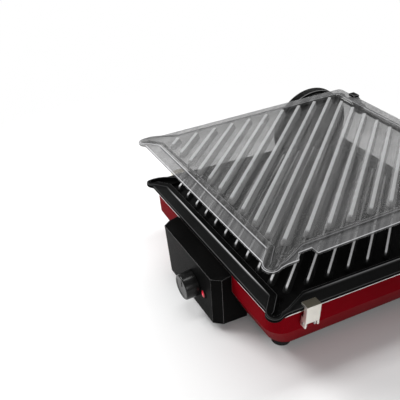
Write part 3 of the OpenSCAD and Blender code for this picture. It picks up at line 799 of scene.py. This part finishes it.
class GrillStageSettings(bpy.types.PropertyGroup):
    """Camera and light."""

    azimuth: bpy.props.FloatProperty(
        name="Azimuth", description="Turn of the view round the grill",
        default=math.radians(62.61), subtype="ANGLE")
    elevation: bpy.props.FloatProperty(
        name="Elevation", description="Height of the view above the horizon",
        default=math.radians(33.24), subtype="ANGLE")
    distance: bpy.props.FloatProperty(
        name="Distance", description="From the camera to its target", default=0.7176, unit="LENGTH")
    target: bpy.props.FloatVectorProperty(
        name="Target", description="Point that the camera looks at",
        default=(-0.03645, -0.13408, 0.092), subtype="XYZ")
    lens: bpy.props.FloatProperty(
        name="Lens", description="Focal length in millimetres", default=53.92)
    light: bpy.props.FloatProperty(
        name="Light", description="Strength of all lamps together", default=1.0, min=0.0)


class GrillPlateSettings(bpy.types.PropertyGroup):
    """Sizes of the ribbed plate."""

    thickness: bpy.props.FloatProperty(
        name="Thickness", description="Thickness of the cast plate", default=0.004, unit="LENGTH")
    pitch: bpy.props.FloatProperty(
        name="Rib pitch", description="Distance from rib to rib", default=0.0178, unit="LENGTH")
    angle: bpy.props.FloatProperty(
        name="Rib direction", description="Direction of the ribs from +X",
        default=math.radians(132.5), subtype="ANGLE")


class GrillControlSettings(bpy.types.PropertyGroup):
    """Sizes and places of the knob and the lamp on the control box."""

    face_angle: bpy.props.FloatProperty(
        name="Face lean", description="Lean of the box's front from upright",
        default=FACE_ANGLE, subtype="ANGLE")
    face_place: bpy.props.FloatProperty(
        name="Face place", description="Front of the box at the dial, from the plate's middle",
        default=FACE_Y, unit="LENGTH")
    dial_height: bpy.props.FloatProperty(
        name="Dial height", description="Height of the dial from the plate's rim",
        default=-0.051, unit="LENGTH")
    knob_place: bpy.props.FloatProperty(
        name="Knob place", description="Knob's place across the box", default=0.0103, unit="LENGTH")
    knob_diameter: bpy.props.FloatProperty(
        name="Knob diameter", description="Diameter at the foot", default=0.033, unit="LENGTH")
    knob_height: bpy.props.FloatProperty(
        name="Knob height", description="Height of the knob", default=0.017, unit="LENGTH")
    lens_place: bpy.props.FloatProperty(
        name="Lens place", description="Lamp lens's place across the box", default=0.0334, unit="LENGTH")
    lens_diameter: bpy.props.FloatProperty(
        name="Lens diameter", description="Diameter of the lens's bezel", default=0.012, unit="LENGTH")


class GrillLidSettings(bpy.types.PropertyGroup):
    """Sizes and place of the lid."""

    thickness: bpy.props.FloatProperty(
        name="Thickness", description="Thickness of the moulded lid", default=0.003, unit="LENGTH")
    rise: bpy.props.FloatProperty(
        name="Rise", description="Height of its back edge above the plate",
        default=0.0747, unit="LENGTH")
    ahead: bpy.props.FloatProperty(
        name="Ahead", description="How far it sits ahead of the plate", default=0.0084, unit="LENGTH")
    slope: bpy.props.FloatProperty(
        name="Slope", description="Its forward slope", default=math.radians(2.5), subtype="ANGLE")


class GrillFinishSettings(bpy.types.PropertyGroup):
    """Colours of the main finishes."""

    housing: bpy.props.FloatVectorProperty(
        name="Housing", description="Colour of the enamelled housing",
        default=(0.165, 0.0015, 0.005), subtype="COLOR")
    floor: bpy.props.FloatVectorProperty(
        name="Floor", description="Colour of the studio floor",
        default=(0.86, 0.86, 0.86), subtype="COLOR")


# ---- stage --------------------------------------------------------------------------------------

SENSOR_W = 36.0  # millimetres
SHIFT = (0.0023, 0.049)
FLOOR_SIDE = 6.0  # half a side of the floor, in metres
FLOOR_FADE = (0.32, 0.7)  # the floor fades between these distances from the grill's middle, in metres
WHITE = (1, 1, 1, 1)
DIM = 0.35  # strength of the surroundings as light
GRILL_MIDDLE = (0, 0, 0.1)
LAMPS = (  # name, place, aim, width and height in metres, power in watts
    ("Back softbox", (-1.0, 0.6, 0.8), GRILL_MIDDLE, (0.9, 0.5), 5),
    ("Key softbox", (-0.9, -1.0, 1.1), GRILL_MIDDLE, (0.8, 0.6), 20),
    ("Side softbox", (1.4, -0.5, 0.6), GRILL_MIDDLE, (0.8, 0.6), 6),
    ("Top softbox", (-0.04, -0.05, 1.3), (-0.04, -0.05, 0), (0.22, 1.3), 7),
)


def pale_surface(name, colour):
    """A matt pale surface, mottled a little, that fades out far away and is clear from below."""
    material, tree, shader = start_material(name, roughness=0.9)
    place = add(tree, "TexCoord")
    mottle = texture(tree, "Noise", scale=6.0, detail=2.0)
    far = add(tree, "VectorMath", operation="LENGTH")
    near, out = FLOOR_FADE
    fade = add(tree, "MapRange", interpolation_type="SMOOTHSTEP", from_min=near, from_max=out)
    side = add(tree, "NewGeometry")
    gone = add(tree, "Math", operation="MAXIMUM")
    clear = add(tree, "BsdfTransparent")
    mix = add(tree, "MixShader")
    join(
        tree,
        (drift(tree, mottle, "Fac", [c * 0.98 for c in colour], colour), 0, shader, "Base Color"),
        (place, "Object", far, 0),
        (far, "Value", fade, 0),
        (fade, 0, gone, 0),
        (side, "Backfacing", gone, 1),
        (gone, 0, mix, 0),
        (shader, 0, mix, 1),
        (clear, 0, mix, 2),
        (mix, 0, tree.nodes["Material Output"], 0),
    )
    return material


def studio_camera(context):
    """The camera, looking at its target from the set turn, height and distance."""
    s = context.scene.grill_stage
    data = bpy.data.cameras.new("Studio camera")
    data.sensor_width, data.lens = SENSOR_W, s.lens
    data.shift_x, data.shift_y = SHIFT
    data.clip_start, data.clip_end = 0.01, 50
    camera = placed("Studio camera", data)
    level = math.cos(s.elevation)
    back = Vector((math.sin(s.azimuth) * level, -math.cos(s.azimuth) * level, math.sin(s.elevation)))
    camera.location = Vector(s.target) + back * s.distance
    camera.rotation_euler = back.to_track_quat("Z", "Y").to_euler()
    context.scene.camera = camera


def studio_floor(context):
    """A pale square floor under the grill."""
    mesh = bpy.data.meshes.new("Studio floor")
    corners = [(-FLOOR_SIDE, -FLOOR_SIDE, 0), (FLOOR_SIDE, -FLOOR_SIDE, 0),
               (FLOOR_SIDE, FLOOR_SIDE, 0), (-FLOOR_SIDE, FLOOR_SIDE, 0)]
    mesh.from_pydata(corners, [], [(0, 1, 2, 3)])
    mesh.materials.append(pale_surface("Pale floor", context.scene.grill_finish.floor))
    floor = placed("Studio floor", mesh)


def white_surroundings(context):
    """White where the camera sees them, also through clear pieces, and dim as light on the grill."""
    world = bpy.data.worlds.new("Studio")
    world.use_nodes = True
    context.scene.world = world
    tree = world.node_tree
    dim = tree.nodes["Background"]
    dim.inputs["Color"].default_value = WHITE
    dim.inputs["Strength"].default_value = DIM
    white = add(tree, "Background", in_0=WHITE, strength=1.0)
    path = add(tree, "LightPath")
    seen = add(tree, "Math", operation="MAXIMUM")
    mix = add(tree, "MixShader")
    join(
        tree,
        (path, "Is Camera Ray", seen, 0),
        (path, "Is Transmission Ray", seen, 1),
        (seen, 0, mix, 0),
        (dim, 0, mix, 1),
        (white, 0, mix, 2),
        (mix, 0, tree.nodes["World Output"], 0),
    )


def lamp(context, name, place, aim, size, power):
    """A soft rectangular lamp at a place, turned to its aim."""
    data = bpy.data.lights.new(name, "AREA")
    data.shape = "RECTANGLE"
    data.size, data.size_y = size
    data.energy = power * context.scene.grill_stage.light
    thing = placed(name, data)
    thing.location = place
    thing.rotation_euler = (Vector(aim) - Vector(place)).to_track_quat("-Z", "Y").to_euler()


class GRILL_OT_stage(bpy.types.Operator):
    """Make the camera, the floor, the soft light and the white surroundings"""

    bl_idname = "grill.stage"
    bl_label = "Stage"

    def execute(self, context):
        context.scene.view_settings.view_transform = "Standard"
        studio_camera(context)
        studio_floor(context)
        white_surroundings(context)
        for row in LAMPS:
            lamp(context, *row)
        return {"FINISHED"}


# ---- pieces -------------------------------------------------------------------------------------

TURNED_STEPS = 96  # points round the knob
OVAL_STEPS = 64  # points round the lens
SEAT = 0.5  # knob and bezel stand so far off the box's face
SHAFT_BORE = 3.05  # radius
BORE_DEPTH = 12.1
POLE = 0.3  # radius of the smallest ring, where a fan shuts the shell
BEZEL_NECK, NECK_DEPTH = 4.9, 4.4  # radius and depth of the bezel's part inside the box
WINDOW_W, WINDOW_H = 3.2, 5.2  # half the lamp window's width and height


class GRILL_OT_plate(bpy.types.Operator):
    """Make the ribbed non-stick plate"""

    bl_idname = "grill.plate"
    bl_label = "Plate"

    def execute(self, context):
        panel = (OUTLINE, context.scene.grill_plate.thickness * MM, 0.1)
        ribbed_piece("plate", at_rim, panel, (2.4, 0.29), "base",
                     ["plate", "plate ribs with painted sheen"], "grill_plate")
        return {"FINISHED"}


class GRILL_OT_lid(bpy.types.Operator):
    """Make the see-through ribbed lid"""

    bl_idname = "grill.lid"
    bl_label = "Lid"

    def execute(self, context):
        panel = (NOTCHED, context.scene.grill_lid.thickness * MM, 1.0)
        ribbed_piece("lid", at_lid, panel, (3.8, 0.45), "lid",
                     ["lid", "lid ribs painted lighter"], "lid_panel")
        return {"FINISHED"}


class GRILL_OT_housing(bpy.types.Operator):
    """Finish the housing, its trim, its bottom and its feet"""

    bl_idname = "grill.housing"
    bl_label = "Housing"

    def execute(self, context):
        dress_node("lower_housing", "enamel", 0.7)
        dress_node("rim_trim", "trim", 0.3)
        dress_node("bottom_cover", "bottom", 0.5)
        for corner in ("front_left", "front_right", "rear_left", "rear_right"):
            dress_node("foot_" + corner, "rubber", 0.8, 3)
        dress_node("cover_screws", "steel")
        return {"FINISHED"}


class GRILL_OT_heating(bpy.types.Operator):
    """Finish the heating element and what holds it"""

    bl_idname = "grill.heating"
    bl_label = "Heating"

    def execute(self, context):
        dress_node("heat_reflector", "sheet")
        dress_node("heating_element", "element")
        for node in ("element_clips", "thermostat", "thermostat_shaft", "thermal_fuse"):
            dress_node(node, "steel")
        dress_node("terminal_block", "ceramic")
        dress_node("cord_inlet", "rubber")
        return {"FINISHED"}


class GRILL_OT_controls(bpy.types.Operator):
    """Finish the control box, its knob and its lamp"""

    bl_idname = "grill.controls"
    bl_label = "Control box"

    def execute(self, context):
        dress_node("control_box", "box", 0.8, 3, "painted edge highlight")
        dress_node("control_box_base", "inner", 0.4)
        self.knob(context)
        self.lens(context)
        dress_node("indicator_lamp", "glass")
        dress_node("box_screws", "steel")
        return {"FINISHED"}

    def knob(self, context):
        """A profile (radius, height) turned round: a soft rim, a dished face and a low pointer ridge."""
        s = context.scene.grill_controls
        r, h = s.knob_diameter * MM / 2, s.knob_height * MM
        side = rounded([(SHAFT_BORE, SEAT, 0), (r, SEAT, 0.5), (r - 1.0, h + SEAT, 1.9),
                        (r - 3.8, h + 0.35, 1.2), (r - 6.2, h - 0.3, 1.6), (POLE, h - 0.45, 0)], 7)
        profile = np.concatenate([[(POLE, BORE_DEPTH), (SHAFT_BORE, BORE_DEPTH)], side])
        points, faces = shell(revolve(profile, TURNED_STEPS))
        painted_highlight = np.clip((profile[:, 1] - h + 1.2) / 1.2, 0, 1)
        painted_highlight_and_lens_glow = np.append(np.repeat(painted_highlight, TURNED_STEPS), [0, 0])

        width, start, end = 1.8, 1.5, r - 4.6
        corners = np.array([[-1, -1], [1, -1], [1, 1], [-1, 1]]) / 2
        middle, size = np.array([0, (start + end) / 2]), np.array([width, end - start])
        steps = ((h - 0.6, 0.0), (h - 0.1, 0.0), (h + 0.15, 0.5))  # heights, and how far drawn in
        bar = [np.column_stack([middle + corners * (size - cut), np.full(4, z)]) for z, cut in steps]
        ridge, ridge_faces = shell(np.array(bar))
        place = (s.knob_place * MM, s.dial_height * MM)
        shells = [(at_dial(points, *place), faces, 0, painted_highlight_and_lens_glow),
                  (at_dial(ridge, *place), ridge_faces, 0, 0.5)]
        make_piece("dial_knob", shells, "knob", ["knob"], ("knob",), 35)

    def lens(self, context):
        """A round bezel whose recess holds an upright oval window: rings (a cos t, b sin t, h)."""
        s = context.scene.grill_controls
        t = np.linspace(0, 2 * np.pi, OVAL_STEPS, endpoint=False)
        r, a, b = s.lens_diameter * MM / 2, WINDOW_W, WINDOW_H
        neck, back = BEZEL_NECK, -NECK_DEPTH
        bezel = [(0.5, 0.5, back), (neck, neck, back), (neck, neck, 0.0), (r, r, 0.0), (r, r, SEAT),
                 (r - 0.1, r - 0.1, 0.75), (r - 0.3, r - 0.3, 0.95), (a + 0.9, b + 0.3, 1.05),
                 (a + 0.4, b + 0.12, 0.95), (a + 0.15, b + 0.03, 0.7), (a + 0.1, b, 0.2), (0.5, 0.5, 0.2)]
        dome = [(0.5, 0.5, 0.3), (a, b - 0.1, 0.3), (a, b - 0.1, 0.8)]
        dome += [(a * math.cos(u), (b - 0.1) * math.cos(u), 0.8 + 0.9 * math.sin(u))
                 for u in np.linspace(0.25, 1.5, 7)]
        place = (s.lens_place * MM, s.dial_height * MM)
        shells = []
        for rows, index in ((bezel, 0), (dome, 1)):
            wide, high, height = np.array(rows).T[:, :, None]
            points, faces = shell(np.stack([wide * np.cos(t), high * np.sin(t), height + 0 * t], -1))
            bright = [1 - min(1.0, row[0] / a) if index else 0.0 for row in rows]
            painted_highlight_and_lens_glow = np.append(np.repeat(bright, OVAL_STEPS), [0, 1])
            shells.append((at_dial(points, *place), faces, index, painted_highlight_and_lens_glow))
        make_piece("lamp_lens", shells, "base", ["box", "lens"], ("indicator_lens",), 40)


class GRILL_OT_clips(bpy.types.Operator):
    """Finish the plate clips"""

    bl_idname = "grill.clips"
    bl_label = "Plate clips"

    def execute(self, context):
        for side in ("left", "right"):
            dress_node("clip_bracket_" + side, "steel", 0.3)
            dress_node("clip_pin_" + side, "steel")
            dress_node("plate_clip_" + side, "clip", 0.35)
        return {"FINISHED"}


class GRILL_OT_hinge(bpy.types.Operator):
    """Finish the hinge cheeks, carriages, rod and arms"""

    bl_idname = "grill.hinge"
    bl_label = "Hinge"

    def execute(self, context):
        for side in ("left", "right"):
            dress_node("hinge_bracket_" + side, "black", 0.4)
            dress_node("hinge_cheek_" + side, "black", 0.7, painted_highlight="painted edge highlight")
            dress_node("cheek_cap_" + side, "black", 0.6, painted_highlight="painted edge highlight")
            dress_node("carriage_" + side, "inner", 0.3)
            dress_node("brake_spring_" + side, "steel")
            dress_node("lid_arm_" + side, "black", 0.4, painted_highlight="painted edge highlight")
        dress_node("hinge_rod", "steel")
        dress_node("cheek_screws", "steel")
        return {"FINISHED"}


# ---- panel and running --------------------------------------------------------------------------

OPERATORS = (GRILL_OT_stage, GRILL_OT_housing, GRILL_OT_heating, GRILL_OT_plate, GRILL_OT_controls,
             GRILL_OT_clips, GRILL_OT_hinge, GRILL_OT_lid)
SETTINGS = (("grill_stage", GrillStageSettings), ("grill_plate", GrillPlateSettings),
            ("grill_controls", GrillControlSettings), ("grill_lid", GrillLidSettings),
            ("grill_finish", GrillFinishSettings))


class GRILL_PT_grill(bpy.types.Panel):
    """Settings and makers of the grill"""

    bl_idname = "GRILL_PT_grill"
    bl_label = "Indoor Grill"
    bl_space_type = "VIEW_3D"
    bl_region_type = "UI"
    bl_category = "Grill"

    def draw(self, context):
        for name, settings in SETTINGS:
            box = self.layout.box()
            for label in settings.__annotations__:
                box.prop(getattr(context.scene, name), label)
        for operator in OPERATORS:
            self.layout.operator(operator.bl_idname)


def register():
    for name, settings in SETTINGS:
        bpy.utils.register_class(settings)
        setattr(bpy.types.Scene, name, bpy.props.PointerProperty(type=settings))
    for operator in OPERATORS:
        bpy.utils.register_class(operator)
    bpy.utils.register_class(GRILL_PT_grill)


def unregister():
    bpy.utils.unregister_class(GRILL_PT_grill)
    for operator in reversed(OPERATORS):
        bpy.utils.unregister_class(operator)
    for name, settings in reversed(SETTINGS):
        delattr(bpy.types.Scene, name)
        bpy.utils.unregister_class(settings)


def main():
    """Registers the add-on and makes everything in order."""
    register()
    bpy.ops.grill.stage()
    bpy.ops.grill.housing()
    bpy.ops.grill.heating()
    bpy.ops.grill.plate()
    bpy.ops.grill.controls()
    bpy.ops.grill.clips()
    bpy.ops.grill.hinge()
    bpy.ops.grill.lid()


if __name__ == "__main__":
    main()
